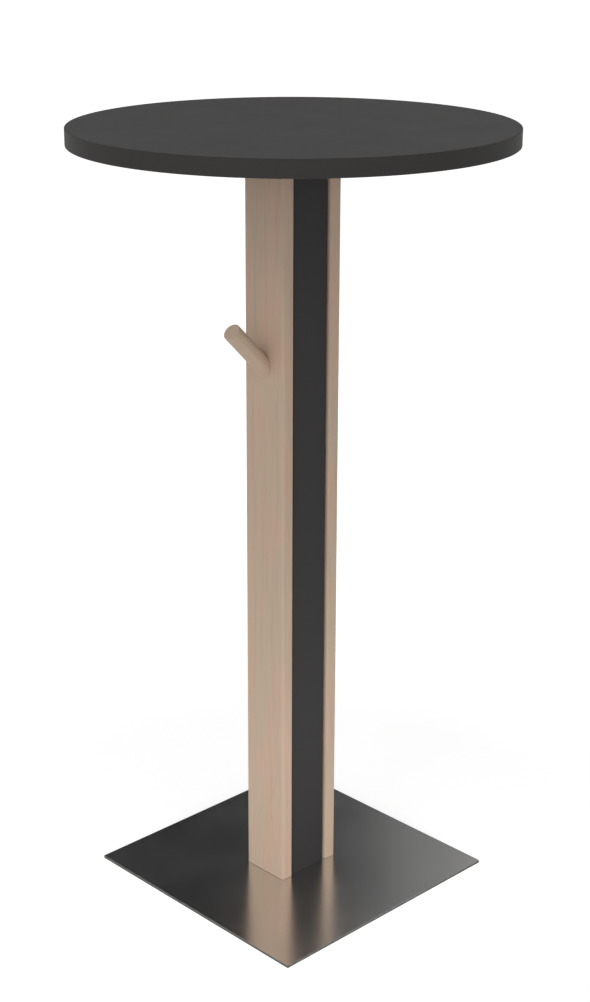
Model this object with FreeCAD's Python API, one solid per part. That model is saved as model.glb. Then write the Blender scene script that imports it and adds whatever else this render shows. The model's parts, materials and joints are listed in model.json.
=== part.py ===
import FreeCAD, Part
import math
import os

# Round standing meeting table, in millimetres. +Z is up, the floor is z = 0, and the origin is under
# the middle of the base. The column is a square steel tube between two wooden boards: the boards
# cover its -Y and +Y sides and the tube shows on its -X and +X sides. A wooden coat peg stands out of
# the -Y board.
#
# How it goes together: a foot block is welded to the base plate, and the tube is slipped over it and
# welded. The boards slide down over dovetail keys on the tube and stand on felt on the base plate. The
# mounting plate is screwed to the block in the tube's upper end, which traps the boards, and the top
# is screwed on from below.

V = FreeCAD.Vector
UP = V(0, 0, 1)
DOWN = V(0, 0, -1)
SIDES = {"peg_side": -1, "plain_side": 1}  # which way along Y each board faces

# Overall
table_height = 1100.0

# Table top: chipboard core, laminate on both faces, plastic band round the edge
top_diameter = 600.0
core_thickness = 22.0
laminate_thickness = 0.6
band_thickness = 2.0
band_chamfer = 0.6
glue_gap = 0.05

# Base plate on a thin rubber mat
base_width = 400.0
base_thickness = 4.0
base_corner_radius = 1.5
mat_thickness = 1.0
mat_inset = 12.0

# Column tube
tube_width = 68.0
tube_wall = 2.5
tube_corner_radius = 5.0

# Blocks in the tube's ends: the foot block is welded to the base plate, the head block to the tube
block_gap = 0.15
foot_block_height = 60.0
head_block_height = 16.0

# Column boards, and the felt strips at their ends
board_width = 76.0
board_thickness = 20.0
board_edge_radius = 4.0
board_end_chamfer = 0.4
felt_thickness = 0.5
felt_inset = 1.2

# Dovetail keys on the tube, in two rows for each board
key_neck = 8.0
key_back = 12.0
key_height = 6.0
key_length = 80.0
key_play = 0.2
key_row_spacing = 38.0
keys_per_row = 3
key_end_distance = 70.0

# Plate between column and top, and the pocket in the top that clears its screw heads
mount_width = 260.0
mount_thickness = 5.0
mount_corner_radius = 14.0
pocket_margin = 5.0
pocket_headroom = 1.0

# Screws: mounting plate to head block, mounting plate to top, board to coat peg
head_screw = {"shank": 8.0, "head": 13.0, "head_height": 5.0, "length": 18.0, "socket": 5.0, "socket_depth": 2.5}
head_screw_spacing = 36.0
top_screw = {"shank": 5.0, "head": 10.0, "head_height": 3.0, "length": 22.0, "socket": 4.0, "socket_depth": 1.8}
top_screw_edge_distance = 18.0
peg_screw = {"shank": 4.0, "head": 8.4, "head_height": 2.6, "length": 34.0, "socket": 3.0, "socket_depth": 1.4}
peg_screw_cover = 0.8

# Coat peg, and its tenon in the board
peg_height = 780.0
peg_slope = 45.0
peg_diameter = 25.0
peg_length = 83.0
peg_end_chamfer = 1.0
tenon_diameter = 14.0
tenon_length = 15.0

# Room round the screws and the tenon in their holes
hole_gap = 0.1

# Levels and faces that several pieces share
base_top = mat_thickness + base_thickness
top_underside = table_height - core_thickness - 2 * laminate_thickness
column_top = top_underside - mount_thickness
tube_half = tube_width / 2
board_face = tube_half + board_thickness
core_radius = top_diameter / 2 - band_thickness - glue_gap


def is_upright(edge):
    return abs(edge.tangentAt(edge.FirstParameter).z) > 0.99


def bar(width, depth, low, high, corner_radius=0.0):
    """An upright bar of rectangular section, centred on the Z axis, with its long edges rounded."""
    box = Part.makeBox(width, depth, high - low, V(-width / 2, -depth / 2, low))
    if not corner_radius:
        return box
    return box.makeFillet(corner_radius, [edge for edge in box.Edges if is_upright(edge)])


def disc(radius, low, high):
    return Part.makeCylinder(radius, high - low, V(0, 0, low))


def prism(points, height):
    """A closed outline of points at one level, drawn up by a height."""
    return Part.Face(Part.makePolygon(points + points[:1])).extrude(V(0, 0, height))


def placed(shape, point, direction):
    """A copy of a shape made about the Z axis, moved so that its origin is at the point and its Z
    along the direction."""
    copy = shape.copy()
    copy.Placement = FreeCAD.Placement(point, FreeCAD.Rotation(UP, direction)).multiply(shape.Placement)
    return copy


def all_placed(shape, points, direction):
    return [placed(shape, point, direction) for point in points]


def spread(low, high, count):
    """Evenly spaced values from low to high."""
    return [low + (high - low) * k / (count - 1) for k in range(count)]


def square_points(spacing, level):
    """The four corners of a square pattern."""
    half = spacing / 2
    return [V(x, y, level) for x in (-half, half) for y in (-half, half)]


# Screws. Each is made with the underside of its head at z = 0 and its shank along +Z.


def shank_space(screw):
    """The hole for a screw's shank."""
    return disc(screw["shank"] / 2 + hole_gap, 0, screw["length"] + hole_gap)


def screw(sizes):
    """A screw with a cylindrical head and a hexagonal socket."""
    head = disc(sizes["head"] / 2, -sizes["head_height"], 0)
    shank = disc(sizes["shank"] / 2, 0, sizes["length"])
    corner = sizes["socket"] / 2 / math.cos(math.radians(30))
    turns = [math.radians(60 * k) for k in range(6)]
    rim = [V(corner * math.cos(a), corner * math.sin(a), -sizes["head_height"]) for a in turns]
    return head.fuse(shank).cut(prism(rim, sizes["socket_depth"]))


def head_screw_points():
    return square_points(head_screw_spacing, top_underside)


def head_screws():
    return all_placed(screw(head_screw), head_screw_points(), DOWN)


def head_screw_spaces():
    return all_placed(shank_space(head_screw), head_screw_points(), DOWN)


def top_screw_points():
    return square_points(mount_width - 2 * top_screw_edge_distance, column_top)


def top_screws():
    return all_placed(screw(top_screw), top_screw_points(), UP)


def top_screw_spaces():
    return all_placed(shank_space(top_screw), top_screw_points(), UP)


# Table top


def head_screw_pocket():
    """The round pocket in the top's underside that the head screws' heads stand in."""
    radius = head_screw_spacing / math.sqrt(2) + head_screw["head"] / 2 + pocket_margin
    return disc(radius, top_underside, top_underside + head_screw["head_height"] + pocket_headroom)


def top_core():
    core = disc(core_radius, top_underside + laminate_thickness, table_height - laminate_thickness)
    return core.cut([head_screw_pocket()] + top_screw_spaces())


def top_laminate():
    return disc(core_radius, table_height - laminate_thickness, table_height)


def balancing_laminate():
    sheet = disc(core_radius, top_underside, top_underside + laminate_thickness)
    return sheet.cut([head_screw_pocket()] + top_screw_spaces())


def edge_band():
    outer = disc(top_diameter / 2, top_underside, table_height)
    rims = [e for e in outer.Edges if isinstance(e.Curve, Part.Circle)]
    eased = outer.makeChamfer(band_chamfer, rims)
    return eased.cut(disc(core_radius + glue_gap, top_underside, table_height))


def mounting_plate():
    plate = bar(mount_width, mount_width, column_top, top_underside, mount_corner_radius)
    return plate.cut(head_screw_spaces() + top_screw_spaces())


# Column: tube and blocks


def block(low, high):
    """A block that fits inside the tube."""
    width = tube_width - 2 * tube_wall - 2 * block_gap
    return bar(width, width, low, high, tube_corner_radius - tube_wall)


def head_block():
    return block(column_top - head_block_height, column_top).cut(head_screw_spaces())


def foot_block():
    return block(base_top, base_top + foot_block_height)


def column_tube():
    outer = bar(tube_width, tube_width, base_top, column_top, tube_corner_radius)
    inner_width = tube_width - 2 * tube_wall
    inner = bar(inner_width, inner_width, base_top, column_top, tube_corner_radius - tube_wall)
    return outer.cut(inner)


# Dovetail keys and the boards that slide over them


def dovetails(side, low, high, play=0.0):
    """Both rows of dovetail on one side of the tube, narrow at the tube and wide in the board."""
    neck, back = key_neck / 2 + play, key_back / 2 + play
    root, crest = side * tube_half, side * (tube_half + key_height + play)
    rows = []
    for middle in (-key_row_spacing / 2, key_row_spacing / 2):
        outline = [V(middle - neck, root, low), V(middle + neck, root, low),
                   V(middle + back, crest, low), V(middle - back, crest, low)]
        rows.append(prism(outline, high - low))
    return rows


def keys(side):
    """Short lengths of dovetail bar, welded to the tube."""
    lowest = base_top + key_end_distance
    highest = column_top - key_end_distance - key_length
    lows = spread(lowest, highest, keys_per_row)
    return [key for low in lows for key in dovetails(side, low, low + key_length)]


def board(side):
    """A board with rounded long edges and two dovetail grooves in its back."""
    low, high = base_top + felt_thickness, column_top - felt_thickness
    blank = bar(board_width, board_thickness, low, high, board_edge_radius)
    ends = [edge for edge in blank.Edges if not is_upright(edge)]
    blank = blank.makeChamfer(board_end_chamfer, ends)
    blank.translate(V(0, side * (tube_half + board_thickness / 2), 0))
    return blank.cut(dovetails(side, low, high, key_play))


def plain_side_board():
    return board(SIDES["plain_side"])


def peg_side_board():
    """The board with a slanting socket for the peg's tenon, and the screw's hole from behind."""
    socket = peg_placed(disc(tenon_diameter / 2 + hole_gap, -tenon_length - hole_gap, peg_diameter))
    return board(SIDES["peg_side"]).cut([socket] + peg_screw_spaces())


def felt_strips(level):
    """A strip of felt under or over each board, set in from its edges."""
    width, depth = board_width - 2 * felt_inset, board_thickness - 2 * felt_inset
    strips = []
    for side in SIDES.values():
        strip = bar(width, depth, level, level + felt_thickness)
        strip.translate(V(0, side * (tube_half + board_thickness / 2), 0))
        strips.append(strip)
    return strips


# Coat peg. It is made along Z, with z = 0 where its axis crosses the board's outer face.


def peg_placed(shape):
    slope = math.radians(peg_slope)
    side = SIDES["peg_side"]
    return placed(shape, V(0, side * board_face, peg_height), V(0, side * math.cos(slope), math.sin(slope)))


def peg_screw_seat():
    """How far behind the board's outer face, along the peg, the screw's head bears. The head's
    corner stays below the board's back by the cover."""
    slope = math.radians(peg_slope)
    head_corner = (board_thickness - peg_screw_cover - peg_screw["head"] / 2 * math.sin(slope)) / math.cos(slope)
    return head_corner - peg_screw["head_height"]


def seated(shape):
    return placed(shape, V(0, 0, -peg_screw_seat()), UP)


def peg_screw_spaces():
    """The shank's hole, and a counterbore for the head that is open at the board's back."""
    counterbore = disc(peg_screw["head"] / 2 + hole_gap, -board_thickness, 0)
    return [peg_placed(seated(shank_space(peg_screw))), peg_placed(seated(counterbore))]


def coat_peg():
    """A round peg with its foot cut to the slope of the board, and a smaller tenon beyond the cut."""
    rod = disc(peg_diameter / 2, -peg_diameter, peg_length)
    tip = [e for e in rod.Edges if e.BoundBox.ZMin > peg_length - peg_end_chamfer]
    outer = peg_placed(rod.makeChamfer(peg_end_chamfer, tip))
    behind = bar(2 * board_width, 2 * board_face, 0, table_height)
    tenon = peg_placed(disc(tenon_diameter / 2, -tenon_length, peg_length / 2))
    return outer.cut(behind).fuse(tenon).removeSplitter().cut(peg_screw_spaces())


def peg_screw_piece():
    return peg_placed(seated(screw(peg_screw)))


# Base


def base_plate():
    return bar(base_width, base_width, mat_thickness, base_top, base_corner_radius)


def floor_mat():
    """A thin rubber sheet stuck under the base plate."""
    width = base_width - 2 * mat_inset
    return bar(width, width, 0, mat_thickness)


PIECES = {
    "floor_mat": floor_mat,
    "base_plate": base_plate,
    "foot_block": foot_block,
    "column_tube": column_tube,
    "head_block": head_block,
    "head_screws": head_screws,
    "mounting_plate": mounting_plate,
    "top_screws": top_screws,
    "peg_side_keys": lambda: keys(SIDES["peg_side"]),
    "plain_side_keys": lambda: keys(SIDES["plain_side"]),
    "peg_side_board": peg_side_board,
    "plain_side_board": plain_side_board,
    "lower_felt_strips": lambda: felt_strips(base_top),
    "upper_felt_strips": lambda: felt_strips(column_top - felt_thickness),
    "coat_peg": coat_peg,
    "peg_screw": peg_screw_piece,
    "balancing_laminate": balancing_laminate,
    "top_core": top_core,
    "top_laminate": top_laminate,
    "edge_band": edge_band,
}


def write_pieces():
    os.makedirs("parts", exist_ok=True)
    for name, make in PIECES.items():
        made = make()
        shape = Part.makeCompound(made) if isinstance(made, list) else made
        shape.exportStep(f"parts/{name}.step")
        print(f"{name}: {len(shape.Solids)} solid(s), {shape.Volume / 1000:.1f} cm3, valid {shape.isValid()}")


write_pieces()
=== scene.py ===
import json
import math

import bmesh
import bpy
from mathutils import Matrix, Vector


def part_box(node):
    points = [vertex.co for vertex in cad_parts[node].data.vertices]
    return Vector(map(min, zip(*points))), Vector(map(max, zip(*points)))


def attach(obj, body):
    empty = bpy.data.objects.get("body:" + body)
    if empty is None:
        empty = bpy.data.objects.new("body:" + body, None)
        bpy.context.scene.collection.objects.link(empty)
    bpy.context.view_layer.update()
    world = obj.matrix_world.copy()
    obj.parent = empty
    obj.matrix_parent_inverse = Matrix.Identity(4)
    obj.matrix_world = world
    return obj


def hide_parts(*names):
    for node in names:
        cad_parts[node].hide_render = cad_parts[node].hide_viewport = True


# Looks of the round standing meeting table: a laminate top with a plastic edge band, a column of two
# wooden boards round a powder-coated tube, a slanting coat peg and a satin steel base plate.
# Everything is in metres, with the floor at z = 0 and the column on the Z axis.

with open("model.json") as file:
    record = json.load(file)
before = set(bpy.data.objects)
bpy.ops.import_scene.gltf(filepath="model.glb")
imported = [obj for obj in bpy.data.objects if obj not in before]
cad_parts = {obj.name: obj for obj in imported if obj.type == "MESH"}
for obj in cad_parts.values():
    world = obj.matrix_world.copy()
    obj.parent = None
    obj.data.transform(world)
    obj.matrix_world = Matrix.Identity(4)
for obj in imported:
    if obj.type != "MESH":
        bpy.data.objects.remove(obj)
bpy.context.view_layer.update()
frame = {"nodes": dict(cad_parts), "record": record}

MM = 0.001

# Edges and roundings of the finished pieces, and the glue gap between edge band and laminate
band_rounding = 0.9 * MM
band_gap = 0.05 * MM
plate_bevel = 0.35 * MM
plate_corner = 1.5 * MM
mount_corner = 14 * MM
mount_bevel = 0.6 * MM
board_rounding = 4 * MM

# How finely curves are divided
band_segments = 360
corner_steps = 8

# Edges sharper than this are eased. Faces whose normals agree further than this share their shading.
sharp_edge = math.radians(50)
shared_shading = 0.64

# Felt under and over the boards: how far in mm it stays inside their faces, at parts of its height
felt_swell = ((0.5, 0), (0.22, 0.15), (0.1, 0.5), (0.22, 0.85), (0.5, 1))

# Coat peg: its slope, its axis where it leaves the board, its tenon and the screw's hole from behind
peg_slope = math.radians(45)
peg_axis_height = 780 * MM
peg_radius = 12.5 * MM
peg_length = 83 * MM
peg_tip_rounding = 1.6 * MM
tenon_radius = 7 * MM
tenon_length = 15 * MM
peg_bore_radius = 2.1 * MM
peg_bore_end = 13.75 * MM
peg_segments = 96

# Button-head screws that hold the top, how finely they are divided, and the part of the head's height
# that the shank reaches into
top_screws = {"spacing": 224 * MM, "head_diameter": 10 * MM, "head_height": 3 * MM, "crown_radius": 8.6 * MM,
              "socket_width": 4 * MM, "socket_depth": 1.8 * MM, "shank_diameter": 5 * MM,
              "shank_length": 22 * MM, "seed": 4}
head_sides, shank_sides, socket_sides = 48, 32, 6
shank_root = 0.2

# Camera
camera_aim = Vector((-0.031545, 0.0, 0.616703))
camera_azimuth = math.radians(46.374)
camera_elevation = math.radians(18.364)
camera_distance = 2.550829
camera_lens = 64.938
camera_sensor = 36
camera_shift = (0.01824, -0.03352)

# Light. The room is white up to about 14 degrees above the horizon and has a dim ceiling from about 18
# degrees up. The ceiling's start and end are the sines of those angles.
room_light = 1.0
ceiling_tone = 0.02
ceiling_start, ceiling_end = 0.25, 0.31

# Softboxes round the column: angle in degrees, and distance, height and size in metres. Each is turned
# to the column at its own height, or at lamp_aim where it hangs higher.
lamps = {
    "overhead": {"angle": 0, "away": 0.0, "level": 3.4, "width": 3.0, "height": 3.0, "brightness": 0.12},
    "front": {"angle": -45, "away": 2.0, "level": 3.0, "width": 2.4, "height": 1.6, "brightness": 0.58},
    "left": {"angle": -90, "away": 2.2, "level": 2.4, "width": 1.8, "height": 1.4, "brightness": 1.73},
    "right": {"angle": 0, "away": 2.2, "level": 2.4, "width": 1.8, "height": 1.4, "brightness": 0.8},
    "back": {"angle": 90, "away": 2.2, "level": 2.4, "width": 1.8, "height": 1.4, "brightness": 1.1},
    "far": {"angle": 180, "away": 2.2, "level": 2.4, "width": 1.8, "height": 1.4, "brightness": 1.0},
    "front_low": {"angle": -45, "away": 1.6, "level": 0.25, "width": 1.4, "height": 0.4, "brightness": 1.74},
    "foot_left": {"angle": -90, "away": 0.5, "level": 0.07, "width": 0.7, "height": 0.12, "brightness": 1.68},
    "foot_right": {"angle": 0, "away": 0.5, "level": 0.07, "width": 0.7, "height": 0.12, "brightness": 2.6},
    "rear": {"angle": 121, "away": 3.0, "level": 2.0, "width": 0.32, "height": 2.4, "brightness": 0.417},
    "rear_mid": {"angle": 127, "away": 3.0, "level": 2.0, "width": 0.32, "height": 2.4, "brightness": 0.191},
    "rear_side": {"angle": 133, "away": 3.0, "level": 2.0, "width": 0.32, "height": 2.4, "brightness": 0.033},
}
lamp_aim = 0.8

# Floor: how far it reaches, its tone and roughness, its own glow close to the table, the two distances
# between which the glow grows to full white, and how far it lies below the table
floor_reach = 40
floor_tone = 0.80
floor_roughness = 0.9
floor_glow = 0.68
floor_near, floor_far = 0.5, 1.6
floor_gap = 0.2 * MM

# Depth of the finishes' fine relief
wood_relief = 0.05 * MM
plastic_relief = 0.03 * MM
coat_relief = 0.04 * MM
brushed_relief = 0.0015 * MM

# Reach of the wear at edges
wear_radius = 1.2 * MM
wear_samples = 6


# ---------------------------------------------------------------- node helpers


def node(tree, kind, inputs=None, **settings):
    """A new node. Its inputs are given as values, or as the sockets that feed them."""
    made = tree.nodes.new(kind)
    for name, value in settings.items():
        setattr(made, name, value)
    for name, value in (inputs or {}).items():
        if isinstance(value, bpy.types.NodeSocket):
            tree.links.new(value, made.inputs[name])
        else:
            made.inputs[name].default_value = value
    return made


def math_node(tree, operation, first, second=0.0, clamp=False):
    made = node(tree, "ShaderNodeMath", {0: first, 1: second}, operation=operation, use_clamp=clamp)
    return made.outputs[0]


def mix_colours(tree, factor, first, second):
    made = node(tree, "ShaderNodeMix", {"Factor": factor}, data_type="RGBA")
    for socket, value in ((made.inputs[6], first), (made.inputs[7], second)):
        if isinstance(value, bpy.types.NodeSocket):
            tree.links.new(value, socket)
        else:
            socket.default_value = value
    return made.outputs[2]


def map_range(tree, value, from_low, from_high, to_low, to_high):
    given = {"Value": value, "From Min": from_low, "From Max": from_high, "To Min": to_low, "To Max": to_high}
    return node(tree, "ShaderNodeMapRange", given).outputs["Result"]


def noise(tree, place, scale, detail=2.0, roughness=0.5, distortion=0.0):
    given = {"Vector": place, "Scale": scale, "Detail": detail, "Roughness": roughness,
             "Distortion": distortion}
    return node(tree, "ShaderNodeTexNoise", given).outputs["Fac"]


def stretched(tree, place, scale):
    """Coordinates scaled differently along each axis, so that a pattern is drawn out."""
    return node(tree, "ShaderNodeMapping", {"Vector": place, "Scale": scale}).outputs["Vector"]


def new_group(name, inputs, outputs):
    """A shader node group with named inputs, given as (name, kind, default), and named outputs."""
    tree = bpy.data.node_groups.new(name, "ShaderNodeTree")
    for label, kind, default in inputs:
        socket = tree.interface.new_socket(label, in_out="INPUT", socket_type=kind)
        if default is not None:
            socket.default_value = default
    for label, kind in outputs:
        tree.interface.new_socket(label, in_out="OUTPUT", socket_type=kind)
    return tree, tree.nodes.new("NodeGroupInput"), tree.nodes.new("NodeGroupOutput")


def rgba(red, green, blue):
    return (red, green, blue, 1.0)


FLOAT, COLOUR, VECTOR = "NodeSocketFloat", "NodeSocketColor", "NodeSocketVector"

# Colours of the wood, of the powder coat, of rubbed steel and of dust
wood_pale, wood_rosy = rgba(0.6445, 0.5046, 0.3774), rgba(0.6954, 0.494, 0.3731)
wood_dark, wood_worn = rgba(0.4558, 0.3074, 0.2226), rgba(0.68, 0.51, 0.39)
coat_colour, coat_worn = rgba(0.0499, 0.0473, 0.0473), rgba(0.085, 0.082, 0.080)
steel_worn = rgba(0.72, 0.71, 0.70)
dust_colour = rgba(0.42, 0.40, 0.37)

# Faces that look along the grain, such as the peg's tip, are painted paler by this factor: painted light in
# place of light that the lamps don't bring to them
painted_end_light_factor = 1.16


# ---------------------------------------------------------------- shared effects


def wood_figure_group():
    """Quiet light hardwood, with the grain along Z: broad soft patches of warmer and greyer wood, long
    streaks, flame-like growth lines here and there, fine fibres and short dark flecks."""
    tree, given, out = new_group(
        "wood_figure",
        [("Vector", VECTOR, None), ("Pale", COLOUR, rgba(1, 1, 1)), ("Rosy", COLOUR, rgba(1, 1, 1)),
         ("Dark", COLOUR, rgba(0, 0, 0)), ("Figure", FLOAT, 1.0)],
        [("Color", COLOUR), ("Roughness", FLOAT), ("Height", FLOAT)],
    )
    patch_scale, streak_scale, wander_scale, flame_scale = 36, 210, 24, 11
    ring_pitch, fibre_scale, fleck_scale = 190, 1100, 900
    streak_depth, growth_depth, fibre_depth, fleck_depth = 0.24, 0.12, 0.12, 0.16
    place = given.outputs["Vector"]
    patches = noise(tree, stretched(tree, place, (1, 1, 0.22)), patch_scale, 3, 0.5, 0.6)
    streaks = noise(tree, stretched(tree, place, (1, 1, 0.035)), streak_scale, 3, 0.55, 0.3)
    wander = noise(tree, stretched(tree, place, (1, 1, 0.10)), wander_scale, 2, 0.5)
    across = node(tree, "ShaderNodeSeparateXYZ", {0: place})
    rings = math_node(tree, "ADD", math_node(tree, "MULTIPLY", across.outputs["X"], 0.35), wander)
    rings = math_node(tree, "ADD", rings, math_node(tree, "MULTIPLY", across.outputs["Y"], 0.8))
    rings = math_node(tree, "SINE", math_node(tree, "MULTIPLY", rings, ring_pitch))
    rings = map_range(tree, rings, 0.2, 1, 0, 1)
    flame = noise(tree, stretched(tree, place, (1, 1, 0.3)), flame_scale, 2)
    flame = map_range(tree, flame, 0.48, 0.62, 0, 1)
    fibres = noise(tree, stretched(tree, place, (1, 1, 0.02)), fibre_scale, 3, 0.6)
    flecks = noise(tree, stretched(tree, place, (1, 1, 0.12)), fleck_scale, 1)
    flecks = map_range(tree, flecks, 0.70, 0.78, 0, 1)
    tone = mix_colours(tree, map_range(tree, patches, 0.40, 0.60, 0, 1), given.outputs["Pale"],
                       given.outputs["Rosy"])
    depth = map_range(tree, streaks, 0.50, 0.74, 0.0, streak_depth)
    growth = math_node(tree, "MULTIPLY", rings, flame)
    depth = math_node(tree, "ADD", depth, math_node(tree, "MULTIPLY", growth, growth_depth))
    depth = math_node(tree, "ADD", depth, map_range(tree, fibres, 0.35, 0.7, 0.0, fibre_depth))
    depth = math_node(tree, "ADD", depth, math_node(tree, "MULTIPLY", flecks, fleck_depth))
    depth = math_node(tree, "MULTIPLY", depth, given.outputs["Figure"], clamp=True)
    colour = mix_colours(tree, depth, tone, given.outputs["Dark"])
    tree.links.new(colour, out.inputs["Color"])
    tree.links.new(map_range(tree, fibres, 0.3, 0.7, 0.50, 0.62), out.inputs["Roughness"])
    height = math_node(tree, "SUBTRACT", fibres, math_node(tree, "MULTIPLY", flecks, 0.5))
    tree.links.new(height, out.inputs["Height"])
    return tree


def fine_texture_group():
    """A fine pebbled surface of pressed plastic or cured powder, with a little uneven tone."""
    tree, given, out = new_group(
        "fine_texture",
        [("Vector", VECTOR, None), ("Color", COLOUR, rgba(1, 1, 1)), ("Grain", FLOAT, 1500.0),
         ("Contrast", FLOAT, 0.1), ("Roughness", FLOAT, 0.5)],
        [("Color", COLOUR), ("Roughness", FLOAT), ("Height", FLOAT)],
    )
    place = given.outputs["Vector"]
    pebbles = node(tree, "ShaderNodeTexVoronoi", {"Vector": place, "Scale": given.outputs["Grain"]},
                   feature="SMOOTH_F1").outputs["Distance"]
    speckle = noise(tree, place, given.outputs["Grain"], 2)
    cloud = noise(tree, place, 9, 4, 0.6)
    tone = math_node(tree, "ADD", math_node(tree, "MULTIPLY", speckle, 0.7),
                     math_node(tree, "MULTIPLY", cloud, 0.3))
    tone = math_node(tree, "SUBTRACT", tone, 0.5)
    tone = math_node(tree, "ADD", math_node(tree, "MULTIPLY", tone, given.outputs["Contrast"]), 1.0)
    scaled = node(tree, "ShaderNodeVectorMath", {0: given.outputs["Color"], "Scale": tone}, operation="SCALE")
    tree.links.new(scaled.outputs[0], out.inputs["Color"])
    uneven = math_node(tree, "MULTIPLY", math_node(tree, "SUBTRACT", cloud, 0.5), 0.16)
    tree.links.new(math_node(tree, "ADD", given.outputs["Roughness"], uneven), out.inputs["Roughness"])
    tree.links.new(pebbles, out.inputs["Height"])
    return tree


def brushing_group():
    """Fine parallel brush lines along X on satin metal, with a few longer scratches."""
    tree, given, out = new_group(
        "brushing",
        [("Vector", VECTOR, None), ("Color", COLOUR, rgba(1, 1, 1)), ("Lines", FLOAT, 2500.0),
         ("Contrast", FLOAT, 0.1), ("Roughness", FLOAT, 0.25)],
        [("Color", COLOUR), ("Roughness", FLOAT), ("Height", FLOAT)],
    )
    place = given.outputs["Vector"]
    lines = noise(tree, stretched(tree, place, (0.02, 1, 1)), given.outputs["Lines"], 3, 0.6)
    scratches = noise(tree, stretched(tree, place, (0.04, 1, 1)), 420, 1)
    scratches = map_range(tree, scratches, 0.74, 0.80, 0, 1)
    cloud = noise(tree, place, 7, 4, 0.55)
    tone = math_node(tree, "SUBTRACT", math_node(tree, "ADD", math_node(tree, "MULTIPLY", lines, 0.6),
                                                 math_node(tree, "MULTIPLY", cloud, 0.4)), 0.5)
    tone = math_node(tree, "ADD", math_node(tree, "MULTIPLY", tone, given.outputs["Contrast"]), 1.0)
    scaled = node(tree, "ShaderNodeVectorMath", {0: given.outputs["Color"], "Scale": tone}, operation="SCALE")
    tree.links.new(scaled.outputs[0], out.inputs["Color"])
    uneven = math_node(tree, "ADD", map_range(tree, cloud, 0.3, 0.7, -0.02, 0.03),
                       map_range(tree, lines, 0.3, 0.7, -0.015, 0.02))
    uneven = math_node(tree, "ADD", uneven, math_node(tree, "MULTIPLY", scratches, 0.02))
    tree.links.new(math_node(tree, "ADD", given.outputs["Roughness"], uneven), out.inputs["Roughness"])
    tree.links.new(math_node(tree, "SUBTRACT", lines, math_node(tree, "MULTIPLY", scratches, 0.6)),
                   out.inputs["Height"])
    return tree


def edge_wear_group():
    """Where hands and cloths rub an edge: the colour and roughness change on tight corners only,
    broken up by noise."""
    tree, given, out = new_group(
        "edge_wear",
        [("Vector", VECTOR, None), ("Color", COLOUR, rgba(1, 1, 1)), ("Worn", COLOUR, rgba(1, 1, 1)),
         ("Roughness", FLOAT, 0.5), ("Worn Roughness", FLOAT, 0.4), ("Amount", FLOAT, 0.5)],
        [("Color", COLOUR), ("Roughness", FLOAT)],
    )
    eased = node(tree, "ShaderNodeBevel", {"Radius": wear_radius}, samples=wear_samples)
    flat = node(tree, "ShaderNodeNewGeometry")
    agreement = node(tree, "ShaderNodeVectorMath",
                     {0: eased.outputs["Normal"], 1: flat.outputs["True Normal"]}, operation="DOT_PRODUCT")
    corner = map_range(tree, agreement.outputs["Value"], 0.995, 0.80, 0, 1)
    broken = map_range(tree, noise(tree, given.outputs["Vector"], 160, 3, 0.6), 0.38, 0.62, 0.25, 1)
    mask = math_node(tree, "MULTIPLY", math_node(tree, "MULTIPLY", corner, broken), given.outputs["Amount"],
                     clamp=True)
    rubbed = mix_colours(tree, mask, given.outputs["Color"], given.outputs["Worn"])
    tree.links.new(rubbed, out.inputs["Color"])
    rough = node(tree, "ShaderNodeMix", {"Factor": mask, 2: given.outputs["Roughness"],
                                         3: given.outputs["Worn Roughness"]}, data_type="FLOAT")
    tree.links.new(rough.outputs[0], out.inputs["Roughness"])
    return tree


def dust_group():
    """A thin uneven film of dust that settles on faces that look up."""
    tree, given, out = new_group(
        "dust",
        [("Vector", VECTOR, None), ("Color", COLOUR, rgba(1, 1, 1)), ("Roughness", FLOAT, 0.5),
         ("Amount", FLOAT, 0.1)],
        [("Color", COLOUR), ("Roughness", FLOAT)],
    )
    facing = node(tree, "ShaderNodeSeparateXYZ", {0: node(tree, "ShaderNodeNewGeometry").outputs["Normal"]})
    upward = map_range(tree, facing.outputs["Z"], 0.5, 1.0, 0, 1)
    patches = map_range(tree, noise(tree, given.outputs["Vector"], 16, 5, 0.65), 0.35, 0.75, 0.2, 1)
    film = math_node(tree, "MULTIPLY", math_node(tree, "MULTIPLY", upward, patches), given.outputs["Amount"],
                     clamp=True)
    tree.links.new(mix_colours(tree, film, given.outputs["Color"], dust_colour), out.inputs["Color"])
    rough = math_node(tree, "ADD", given.outputs["Roughness"], math_node(tree, "MULTIPLY", film, 0.5))
    tree.links.new(rough, out.inputs["Roughness"])
    return tree


def cut_edge_group():
    """The sides of a plate as the cutter left them: darker and rougher than its faces, with fine
    upright draw marks."""
    tree, given, out = new_group(
        "cut_edge",
        [("Vector", VECTOR, None), ("Color", COLOUR, rgba(1, 1, 1)), ("Cut", COLOUR, rgba(0.1, 0.1, 0.1)),
         ("Roughness", FLOAT, 0.2), ("Cut Roughness", FLOAT, 0.5)],
        [("Color", COLOUR), ("Roughness", FLOAT)],
    )
    normal = node(tree, "ShaderNodeNewGeometry").outputs["True Normal"]
    facing = node(tree, "ShaderNodeSeparateXYZ", {0: normal})
    levelness = math_node(tree, "ABSOLUTE", facing.outputs["Z"])
    side = map_range(tree, levelness, 0.35, 0.65, 1, 0)
    marks = noise(tree, stretched(tree, given.outputs["Vector"], (1, 1, 0.1)), 900, 3, 0.6)
    shade = map_range(tree, marks, 0.3, 0.7, 0.75, 1.2)
    cut = node(tree, "ShaderNodeVectorMath", {0: given.outputs["Cut"], "Scale": shade}, operation="SCALE")
    tree.links.new(mix_colours(tree, side, given.outputs["Color"], cut.outputs[0]), out.inputs["Color"])
    rough = node(tree, "ShaderNodeMix", {"Factor": side, 2: given.outputs["Roughness"],
                                         3: given.outputs["Cut Roughness"]}, data_type="FLOAT")
    tree.links.new(rough.outputs[0], out.inputs["Roughness"])
    return tree


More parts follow.
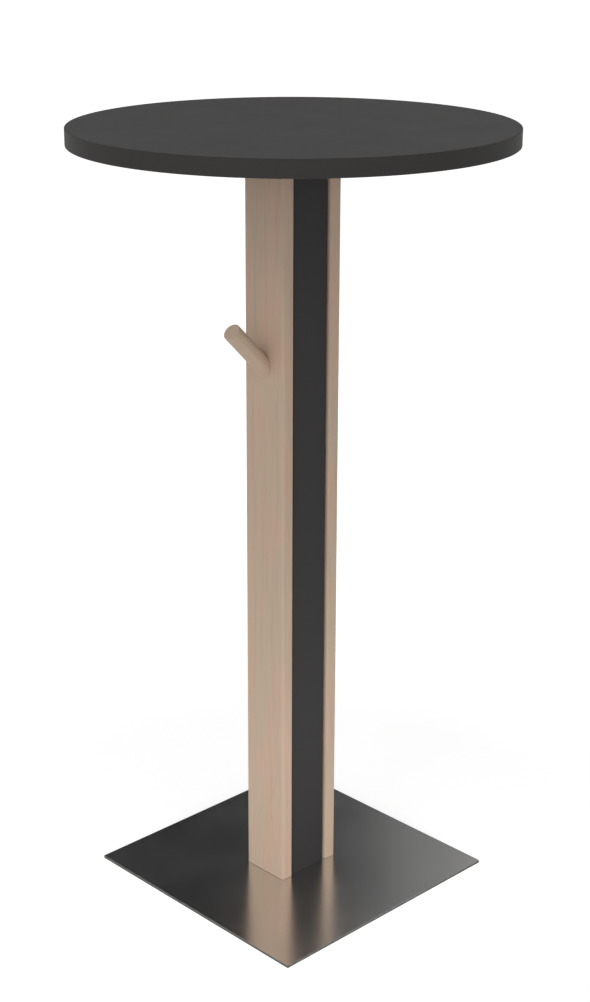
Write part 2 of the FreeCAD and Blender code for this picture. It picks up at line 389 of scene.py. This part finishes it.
GROUPS = {
    "cut": cut_edge_group(),
    "wood": wood_figure_group(),
    "texture": fine_texture_group(),
    "brushing": brushing_group(),
    "wear": edge_wear_group(),
    "dust": dust_group(),
}


# ---------------------------------------------------------------- finishes


def start_finish(name):
    """An empty material: its tree, its shader, and the coordinates of the piece that wears it."""
    material = bpy.data.materials.new(name)
    material.use_nodes = True
    tree = material.node_tree
    shader = tree.nodes["Principled BSDF"]
    place = tree.nodes.new("ShaderNodeTexCoord").outputs["Object"]
    return material, tree, shader, place


def effect(tree, name, **inputs):
    """One of the shared effects, with this finish's own values. An underline stands for a space."""
    return node(tree, "ShaderNodeGroup", {k.replace("_", " "): v for k, v in inputs.items()},
                node_tree=GROUPS[name])


def connect(tree, shader, colour, roughness, height, depth):
    tree.links.new(colour, shader.inputs["Base Color"])
    tree.links.new(roughness, shader.inputs["Roughness"])
    bump = node(tree, "ShaderNodeBump", {"Height": height, "Distance": depth, "Strength": 1.0})
    tree.links.new(bump.outputs["Normal"], shader.inputs["Normal"])


def lacquered_wood(name, turn=0.0):
    """Pale hardwood under matt lacquer. The grain runs along Z, turned about X by an angle. Faces that look
    along the grain are painted a little paler, as painted light that the lamps don't give them."""
    material, tree, shader, place = start_finish(name)
    place = node(tree, "ShaderNodeMapping", {"Vector": place, "Rotation": (turn, 0, 0)}).outputs["Vector"]
    facing = node(tree, "ShaderNodeVectorMath",
                  {0: tree.nodes.new("ShaderNodeNewGeometry").outputs["True Normal"],
                   1: (0, math.sin(turn), math.cos(turn))}, operation="DOT_PRODUCT").outputs["Value"]
    # Painted light: faces along the grain, such as the peg's tip, are made paler to stand in for light that
    # doesn't reach them
    painted_end_light = map_range(tree, math_node(tree, "ABSOLUTE", facing), 0.8, 0.97, 1.0, painted_end_light_factor)
    wood = effect(tree, "wood", Vector=place, Pale=wood_pale, Rosy=wood_rosy, Dark=wood_dark, Figure=1.0)
    worn = effect(tree, "wear", Vector=place, Color=wood.outputs["Color"], Worn=wood_worn,
                  Roughness=wood.outputs["Roughness"], Worn_Roughness=0.42, Amount=0.35)
    shown = node(tree, "ShaderNodeVectorMath", {0: worn.outputs["Color"], "Scale": painted_end_light}, operation="SCALE")
    connect(tree, shader, shown.outputs[0], worn.outputs["Roughness"], wood.outputs["Height"], wood_relief)
    shader.inputs["Specular IOR Level"].default_value = 0.3
    return material


def pressed_plastic(name, colour, grain, roughness, worn, specular=0.25):
    """Laminate, edge band or other pressed plastic: fine pebbles, worn edges and a little dust."""
    material, tree, shader, place = start_finish(name)
    skin = effect(tree, "texture", Vector=place, Color=colour, Grain=grain, Contrast=0.35,
                  Roughness=roughness)
    rubbed = effect(tree, "wear", Vector=place, Color=skin.outputs["Color"], Worn=worn,
                    Roughness=skin.outputs["Roughness"], Worn_Roughness=roughness - 0.12, Amount=0.4)
    dusty = effect(tree, "dust", Vector=place, Color=rubbed.outputs["Color"],
                   Roughness=rubbed.outputs["Roughness"], Amount=0.02)
    connect(tree, shader, dusty.outputs["Color"], dusty.outputs["Roughness"], skin.outputs["Height"],
            plastic_relief)
    shader.inputs["Specular IOR Level"].default_value = specular
    return material


def powder_coat(name):
    """Fine matt powder coat with rubbed edges."""
    material, tree, shader, place = start_finish(name)
    skin = effect(tree, "texture", Vector=place, Color=coat_colour, Grain=1900.0, Contrast=0.3, Roughness=0.6)
    rubbed = effect(tree, "wear", Vector=place, Color=skin.outputs["Color"], Worn=coat_worn,
                    Roughness=skin.outputs["Roughness"], Worn_Roughness=0.4, Amount=0.5)
    connect(tree, shader, rubbed.outputs["Color"], rubbed.outputs["Roughness"], skin.outputs["Height"],
            coat_relief)
    shader.inputs["Specular IOR Level"].default_value = 0.1
    return material


def satin_steel(name, colour, lines, roughness, dust=0.0, cut=rgba(0.3, 0.3, 0.3)):
    """Bare or plated steel with fine brush lines, rubbed edges and cut sides of their own colour."""
    material, tree, shader, place = start_finish(name)
    metal = effect(tree, "brushing", Vector=place, Color=colour, Lines=lines, Contrast=0.12,
                   Roughness=roughness)
    rubbed = effect(tree, "wear", Vector=place, Color=metal.outputs["Color"], Worn=steel_worn,
                    Roughness=metal.outputs["Roughness"], Worn_Roughness=roughness - 0.05, Amount=0.5)
    dusty = effect(tree, "dust", Vector=place, Color=rubbed.outputs["Color"],
                   Roughness=rubbed.outputs["Roughness"], Amount=dust)
    sided = effect(tree, "cut", Vector=place, Color=dusty.outputs["Color"], Cut=cut,
                   Roughness=dusty.outputs["Roughness"], Cut_Roughness=0.5)
    connect(tree, shader, sided.outputs["Color"], sided.outputs["Roughness"], metal.outputs["Height"],
            brushed_relief)
    shader.inputs["Metallic"].default_value = 1.0
    return material


def matt_fibre(name, colour, grain, depth):
    """Rubber, felt or raw board: matt, speckled and uneven."""
    material, tree, shader, place = start_finish(name)
    skin = effect(tree, "texture", Vector=place, Color=colour, Grain=grain, Contrast=0.9, Roughness=0.85)
    connect(tree, shader, skin.outputs["Color"], skin.outputs["Roughness"], skin.outputs["Height"], depth)
    shader.inputs["Specular IOR Level"].default_value = 0.2
    return material


FINISHES = {
    "anthracite_laminate": pressed_plastic(
        "anthracite_laminate", colour=rgba(0.0806, 0.0778, 0.0767), grain=1300.0, roughness=0.72,
        worn=rgba(0.10, 0.096, 0.094)),
    "anthracite_edge": pressed_plastic(
        "anthracite_edge", colour=rgba(0.0545, 0.0520, 0.0505), grain=1700.0, roughness=0.66,
        worn=rgba(0.095, 0.090, 0.088), specular=0.12),
    "balancing_laminate": pressed_plastic(
        "balancing_laminate", colour=rgba(0.060, 0.058, 0.056), grain=1300.0, roughness=0.75,
        worn=rgba(0.09, 0.086, 0.084)),
    "chipboard": matt_fibre("chipboard", colour=rgba(0.45, 0.33, 0.21), grain=700.0, depth=0.3 * MM),
    "board_wood": lacquered_wood("board_wood"),
    "peg_wood": lacquered_wood("peg_wood", turn=-peg_slope),
    "anthracite_powder_coat": powder_coat("anthracite_powder_coat"),
    "base_steel": satin_steel("base_steel", colour=rgba(0.76, 0.75, 0.74), lines=2600.0, roughness=0.20,
                              dust=0.004, cut=rgba(0.115, 0.112, 0.108)),
    "block_steel": satin_steel("block_steel", colour=rgba(0.35, 0.35, 0.36), lines=900.0, roughness=0.38),
    "screw_steel": satin_steel("screw_steel", colour=rgba(0.55, 0.55, 0.56), lines=3000.0, roughness=0.3),
    "felt": matt_fibre("felt", colour=rgba(0.42, 0.33, 0.25), grain=2400.0, depth=0.2 * MM),
    "mat_rubber": matt_fibre("mat_rubber", colour=rgba(0.030, 0.030, 0.030), grain=900.0, depth=0.15 * MM),
}


def dress_cad_nodes():
    for subpart in frame["record"]["subparts"]:
        wearer = frame["nodes"][subpart["node"]]
        wearer.material_slots[0].material = FINISHES[subpart["material_slot"]]


# ---------------------------------------------------------------- shaping helpers


def corner_arc(centre, radius, start, end, steps=6):
    """Points of an arc about a centre, from one angle to another, in degrees."""
    angles = [math.radians(start + (end - start) * k / steps) for k in range(steps + 1)]
    return [(centre[0] + radius * math.cos(a), centre[1] + radius * math.sin(a)) for a in angles]


def rounded_outline(half_x, half_y, radius, middle=0.0):
    """Points round a rectangle with rounded corners, whose centres lie half_x and half_y from its middle.
    The middle may be moved along Y."""
    points = []
    for quarter, (sx, sy) in enumerate(((1, 1), (-1, 1), (-1, -1), (1, -1))):
        points += corner_arc((sx * half_x, middle + sy * half_y), radius, 90 * quarter, 90 * quarter + 90,
                             corner_steps)
    return points


def turned(outline, segments, closed=False):
    """A bmesh turned about the Z axis from (radius, height) points. A closed outline makes a ring."""
    mesh = bmesh.new()
    turns = [math.tau * k / segments for k in range(segments)]
    rings = []
    for radius, height in outline:
        if radius < 1e-9:
            rings.append([mesh.verts.new((0, 0, height))] * segments)
        else:
            rings.append([mesh.verts.new((radius * math.cos(a), radius * math.sin(a), height))
                          for a in turns])
    pairs = list(zip(rings, rings[1:] + rings[:1])) if closed else list(zip(rings, rings[1:]))
    for lower, upper in pairs:
        for k in range(segments):
            n = (k + 1) % segments
            corners = list(dict.fromkeys([lower[k], lower[n], upper[n], upper[k]]))
            mesh.faces.new(corners)
    return mesh


def rounded_plate(width, corner, low, high):
    """A square plate centred on the Z axis with rounded corners."""
    mesh = bmesh.new()
    half = width / 2 - corner
    base = [mesh.verts.new((x, y, low)) for x, y in rounded_outline(half, half, corner)]
    face = mesh.faces.new(base)
    grown = bmesh.ops.extrude_face_region(mesh, geom=[face])
    raised = [v for v in grown["geom"] if isinstance(v, bmesh.types.BMVert)]
    bmesh.ops.translate(mesh, verts=raised, vec=(0, 0, high - low))
    return mesh


def bevelled(mesh, width, steps=3):
    """Eases every sharp edge."""
    sharp = [e for e in mesh.edges if e.calc_face_angle(0) > sharp_edge]
    bmesh.ops.bevel(mesh, geom=sharp, offset=width, segments=steps, profile=0.5, affect="EDGES")
    return mesh


def keep_flats_flat(data):
    """Leans the shading of every corner to the larger of the faces that meet there, so that wide faces
    stay flat up to their eased edges and the edges blend into them."""
    meeting = [[] for _ in data.vertices]
    for face in data.polygons:
        for vert in face.vertices:
            meeting[vert].append(face)
    normals = [None] * len(data.loops)
    for face in data.polygons:
        for loop in face.loop_indices:
            near = [f for f in meeting[data.loops[loop].vertex_index]
                    if f.normal.dot(face.normal) > shared_shading]
            normals[loop] = sum((f.normal * f.area for f in near), Vector()).normalized()
    data.normals_split_custom_set(normals)


def finish_piece(mesh, name, slot, *nodes):
    """Makes the bmesh an object of the table that stands for CAD nodes."""
    bmesh.ops.recalc_face_normals(mesh, faces=mesh.faces)
    data = bpy.data.meshes.new(name)
    mesh.to_mesh(data)
    mesh.free()
    piece = bpy.data.objects.new(name, data)
    bpy.context.scene.collection.objects.link(piece)
    data.materials.append(FINISHES[slot])
    data.shade_smooth()
    keep_flats_flat(data)
    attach(piece, "root")
    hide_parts(*nodes)


# ---------------------------------------------------------------- pieces


def rim_band():
    """The edge band: a ring with softly rounded outer edges."""
    low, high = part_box("edge_band")
    outer, inner = high.x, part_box("top_laminate")[1].x + band_gap
    r = band_rounding
    outline = [(inner, low.z)]
    outline += corner_arc((outer - r, low.z + r), r, -90, 0)
    outline += corner_arc((outer - r, high.z - r), r, 0, 90)
    outline += [(inner, high.z)]
    band = turned(outline, band_segments, closed=True)
    finish_piece(band, "rim_band", "anthracite_edge", "edge_band")


def floor_plate():
    """The base plate, with eased edges."""
    low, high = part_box("base_plate")
    plate = bevelled(rounded_plate(2 * high.x, plate_corner, low.z, high.z), plate_bevel)
    finish_piece(plate, "floor_plate", "base_steel", "base_plate")


def felt_cushions(name, node_name):
    """The felt at one end of the boards, pressed out on all sides nearly to the boards' faces."""
    low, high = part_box(node_name)
    mesh = bmesh.new()
    for board in ("peg_side_board", "plain_side_board"):
        near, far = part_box(board)
        half_x, half_y = (far.x - near.x) / 2 - board_rounding, (far.y - near.y) / 2 - board_rounding
        middle = (near.y + far.y) / 2
        rings = []
        for inset, part in felt_swell:
            ring = rounded_outline(half_x, half_y, board_rounding - inset * MM, middle)
            height = low.z + (high.z - low.z) * part
            rings.append([mesh.verts.new((x, y, height)) for x, y in ring])
        for lower, upper in zip(rings, rings[1:]):
            for k in range(len(lower)):
                n = (k + 1) % len(lower)
                mesh.faces.new((lower[k], lower[n], upper[n], upper[k]))
        mesh.faces.new(rings[0])
        mesh.faces.new(rings[-1])
    finish_piece(mesh, name, "felt", node_name)


def mounting_plate():
    """The plate that the top is screwed to, with eased edges."""
    low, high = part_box("mounting_plate")
    plate = bevelled(rounded_plate(2 * high.x, mount_corner, low.z, high.z), mount_bevel)
    finish_piece(plate, "eased_mounting_plate", "anthracite_powder_coat", "mounting_plate")


def turned_peg():
    """The coat peg: a round rod with a softly rounded tip, its foot cut to the board's face, and the
    smaller tenon behind the cut. Points are (radius, height along the peg, follows the cut)."""
    r, tip = peg_tip_rounding, peg_length
    outline = [(0, tip, False)]
    rounding = corner_arc((peg_radius - r, tip - r), r, 0, 90, corner_steps)
    outline += [(x, z, False) for x, z in reversed(rounding)]
    outline += [(peg_radius, 0, True), (tenon_radius, 0, True), (tenon_radius, -tenon_length, False),
                (peg_bore_radius, -tenon_length, False), (peg_bore_radius, peg_bore_end, False),
                (0, peg_bore_end, False)]
    peg = turned([(radius, height) for radius, height, _ in outline], peg_segments)
    rows = [row for row, (radius, _, follows) in enumerate(outline) if follows]
    peg.verts.ensure_lookup_table()
    for row in rows:
        first = 1 + (row - 1) * peg_segments
        for vert in peg.verts[first:first + peg_segments]:
            vert.co.z = vert.co.y * math.tan(peg_slope)
    along = Vector((0, -math.cos(peg_slope), math.sin(peg_slope)))
    up = Vector((0, math.sin(peg_slope), math.cos(peg_slope)))
    turn = Matrix((Vector((1, 0, 0)), up, along)).transposed().to_4x4()
    place = Matrix.Translation((0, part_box("peg_side_board")[0].y, peg_axis_height))
    peg.transform(place @ turn)
    finish_piece(peg, "turned_peg", "peg_wood", "coat_peg")


def button_screw_tree():
    """Button-head screws with hexagonal sockets, one at each corner of a square, each turned its own
    way. A screw's head hangs below the level of its seat and its shank stands above."""
    tree = bpy.data.node_groups.new("button_screws", "GeometryNodeTree")
    for label in ("Spacing", "Level", "Head Diameter", "Head Height", "Crown Radius", "Socket Width",
                  "Socket Depth", "Shank Diameter", "Shank Length"):
        tree.interface.new_socket(label, in_out="INPUT", socket_type=FLOAT)
    tree.interface.new_socket("Seed", in_out="INPUT", socket_type="NodeSocketInt")
    tree.interface.new_socket("Finish", in_out="INPUT", socket_type="NodeSocketMaterial")
    tree.interface.new_socket("Geometry", in_out="OUTPUT", socket_type="NodeSocketGeometry")
    given, out = tree.nodes.new("NodeGroupInput").outputs, tree.nodes.new("NodeGroupOutput")

    def half(value):
        return math_node(tree, "MULTIPLY", value, 0.5)

    def moved(shape, height):
        lift = node(tree, "ShaderNodeCombineXYZ", {"Z": height}).outputs[0]
        return node(tree, "GeometryNodeTransform", {"Geometry": shape, "Translation": lift}).outputs[0]

    def rod(sides, radius, depth, middle):
        made = node(tree, "GeometryNodeMeshCylinder", {"Vertices": sides, "Radius": radius, "Depth": depth})
        return moved(made.outputs["Mesh"], middle)

    def combined(operation, first, second):
        made = node(tree, "GeometryNodeMeshBoolean", operation=operation)
        tree.links.new(first, made.inputs[0 if operation == "DIFFERENCE" else 1])
        tree.links.new(second, made.inputs[1])
        return made.outputs["Mesh"]

    height, crown = given["Head Height"], given["Crown Radius"]
    head = rod(head_sides, half(given["Head Diameter"]), height, math_node(tree, "MULTIPLY", height, -0.5))
    ball = node(tree, "GeometryNodeMeshUVSphere",
                {"Segments": head_sides, "Rings": head_sides, "Radius": crown}).outputs["Mesh"]
    head = combined("INTERSECT", head, moved(ball, math_node(tree, "SUBTRACT", crown, height)))
    corner = math_node(tree, "MULTIPLY", given["Socket Width"], 0.5 / math.cos(math.pi / socket_sides))
    socket = rod(socket_sides, corner, math_node(tree, "MULTIPLY", given["Socket Depth"], 2),
                 math_node(tree, "MULTIPLY", height, -1))
    head = combined("DIFFERENCE", head, socket)
    length = given["Shank Length"]
    sunk = math_node(tree, "MULTIPLY", height, shank_root)
    shank = rod(shank_sides, half(given["Shank Diameter"]), math_node(tree, "ADD", length, sunk),
                half(math_node(tree, "SUBTRACT", length, sunk)))
    screw = combined("UNION", head, shank)
    corners = node(tree, "GeometryNodeMeshGrid", {"Size X": given["Spacing"], "Size Y": given["Spacing"],
                                                  "Vertices X": 2, "Vertices Y": 2}).outputs["Mesh"]
    turns = node(tree, "FunctionNodeRandomValue", data_type="FLOAT_VECTOR")
    turns.inputs[1].default_value = (0, 0, math.tau)
    tree.links.new(given["Seed"], turns.inputs["Seed"])
    screws = node(tree, "GeometryNodeInstanceOnPoints",
                  {"Points": moved(corners, given["Level"]), "Instance": screw, "Rotation": turns.outputs[0]})
    realized = node(tree, "GeometryNodeRealizeInstances", {"Geometry": screws.outputs[0]})
    dressed = node(tree, "GeometryNodeSetMaterial",
                   {"Geometry": realized.outputs[0], "Material": given["Finish"]})
    tree.links.new(dressed.outputs[0], out.inputs["Geometry"])
    return tree


def grown(name, tree, values):
    """Runs a Geometry Nodes tree with its inputs given by name, and returns what it made."""
    carrier = bpy.data.objects.new(name + "_carrier", bpy.data.meshes.new(name + "_carrier"))
    bpy.context.scene.collection.objects.link(carrier)
    modifier = carrier.modifiers.new(name, "NODES")
    modifier.node_group = tree
    for socket in tree.interface.items_tree:
        if socket.in_out == "INPUT":
            modifier[socket.identifier] = values[socket.name.lower().replace(" ", "_")]
    bpy.context.view_layer.update()
    seen = carrier.evaluated_get(bpy.context.evaluated_depsgraph_get())
    made = bpy.data.meshes.new_from_object(seen)
    carrier.modifiers.remove(modifier)
    bpy.data.objects.remove(carrier)
    mesh = bmesh.new()
    mesh.from_mesh(made)
    return mesh


def button_screws():
    """The four screws that hold the top, seen from below."""
    sizes = dict(top_screws, level=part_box("mounting_plate")[0].z, finish=FINISHES["screw_steel"])
    screws = grown("button_screws", button_screw_tree(), sizes)
    finish_piece(screws, "button_screws", "screw_steel", "top_screws")


# ---------------------------------------------------------------- room


def aim(thing, target):
    """Turns a lamp so that it faces a target, and keeps its place."""
    thing.rotation_euler = (thing.location - Vector(target)).to_track_quat("Z", "Y").to_euler()


def softbox(name, place, target, size, brightness):
    """A rectangular lamp of a given brightness, where 1 is as bright as the white of the room."""
    lamp = bpy.data.lights.new(name, "AREA")
    lamp.shape = "RECTANGLE"
    lamp.size, lamp.size_y = size
    lamp.energy = brightness * math.pi * size[0] * size[1]
    thing = bpy.data.objects.new(name, lamp)
    bpy.context.scene.collection.objects.link(thing)
    thing.location = place
    thing.visible_camera = False
    aim(thing, target)


def seen_directly(tree):
    """1 for what the camera sees, directly, mirrored or through glass, and 0 for other light."""
    path = tree.nodes.new("ShaderNodeLightPath")
    seen = math_node(tree, "MAXIMUM", path.outputs["Is Camera Ray"], path.outputs["Is Glossy Ray"])
    return math_node(tree, "MAXIMUM", seen, path.outputs["Is Transmission Ray"])


def white_room():
    """White all round the horizon and a dim ceiling, the same to every kind of ray."""
    world = bpy.data.worlds.new("white_room")
    bpy.context.scene.world = world
    world.use_nodes = True
    tree = world.node_tree
    direction = tree.nodes.new("ShaderNodeTexCoord").outputs["Generated"]
    towards = node(tree, "ShaderNodeSeparateXYZ", {0: direction})
    given = {"Value": towards.outputs["Z"], "From Min": ceiling_start, "From Max": ceiling_end}
    overhead = node(tree, "ShaderNodeMapRange", given, interpolation_type="SMOOTHSTEP").outputs["Result"]
    strength = map_range(tree, overhead, 0, 1, room_light, ceiling_tone)
    background = tree.nodes["Background"]
    background.inputs["Color"].default_value = rgba(1, 1, 1)
    tree.links.new(strength, background.inputs["Strength"])


def pale_floor():
    """A wide pale floor, a hair below the table. Where it is seen directly or mirrored it also glows, so
    that it is white where nothing shades it. From below it is clear, so the underside shows."""
    data = bpy.data.meshes.new("pale_floor")
    mesh = bmesh.new()
    bmesh.ops.create_grid(mesh, x_segments=1, y_segments=1, size=floor_reach,
                          matrix=Matrix.Translation((0, 0, -floor_gap)))
    mesh.to_mesh(data)
    mesh.free()
    floor = bpy.data.objects.new("pale_floor", data)
    bpy.context.scene.collection.objects.link(floor)
    material = bpy.data.materials.new("pale_floor")
    material.use_nodes = True
    tree = material.node_tree
    shader = tree.nodes["Principled BSDF"]
    shader.inputs["Base Color"].default_value = rgba(floor_tone, floor_tone, floor_tone)
    shader.inputs["Roughness"].default_value = floor_roughness
    shader.inputs["Specular IOR Level"].default_value = 0.0
    shader.inputs["Emission Color"].default_value = rgba(1, 1, 1)
    place = tree.nodes.new("ShaderNodeTexCoord").outputs["Object"]
    away = node(tree, "ShaderNodeVectorMath", {0: place}, operation="LENGTH").outputs["Value"]
    glow = map_range(tree, away, floor_near, floor_far, floor_glow, 1.0)
    tree.links.new(math_node(tree, "MULTIPLY", glow, seen_directly(tree)), shader.inputs["Emission Strength"])
    below = tree.nodes.new("ShaderNodeNewGeometry").outputs["Backfacing"]
    clear = tree.nodes.new("ShaderNodeBsdfTransparent").outputs[0]
    sided = node(tree, "ShaderNodeMixShader", {0: below, 1: shader.outputs[0], 2: clear})
    tree.links.new(sided.outputs[0], tree.nodes["Material Output"].inputs["Surface"])
    data.materials.append(material)


def studio_light():
    """Softboxes round the table, each turned to the column."""
    for name, lamp in lamps.items():
        angle = math.radians(lamp["angle"])
        place = Vector((math.cos(angle) * lamp["away"], math.sin(angle) * lamp["away"], lamp["level"]))
        target = (0, 0, min(lamp["level"], lamp_aim))
        softbox(name, place, target, (lamp["width"], lamp["height"]), lamp["brightness"])


def set_camera():
    data = bpy.data.cameras.new("camera")
    data.lens = camera_lens
    data.sensor_width = camera_sensor
    data.shift_x, data.shift_y = camera_shift
    camera = bpy.data.objects.new("camera", data)
    bpy.context.scene.collection.objects.link(camera)
    flat = math.cos(camera_elevation)
    back = Vector((math.sin(camera_azimuth) * flat, -math.cos(camera_azimuth) * flat,
                   math.sin(camera_elevation)))
    camera.location = camera_aim + back * camera_distance
    camera.rotation_euler = (math.pi / 2 - camera_elevation, 0, camera_azimuth)
    bpy.context.scene.camera = camera


set_camera()
bpy.context.scene.view_settings.view_transform = "Standard"
white_room()
pale_floor()
studio_light()
dress_cad_nodes()
rim_band()
floor_plate()
felt_cushions("lower_felt_cushions", "lower_felt_strips")
felt_cushions("upper_felt_cushions", "upper_felt_strips")
mounting_plate()
turned_peg()
button_screws()
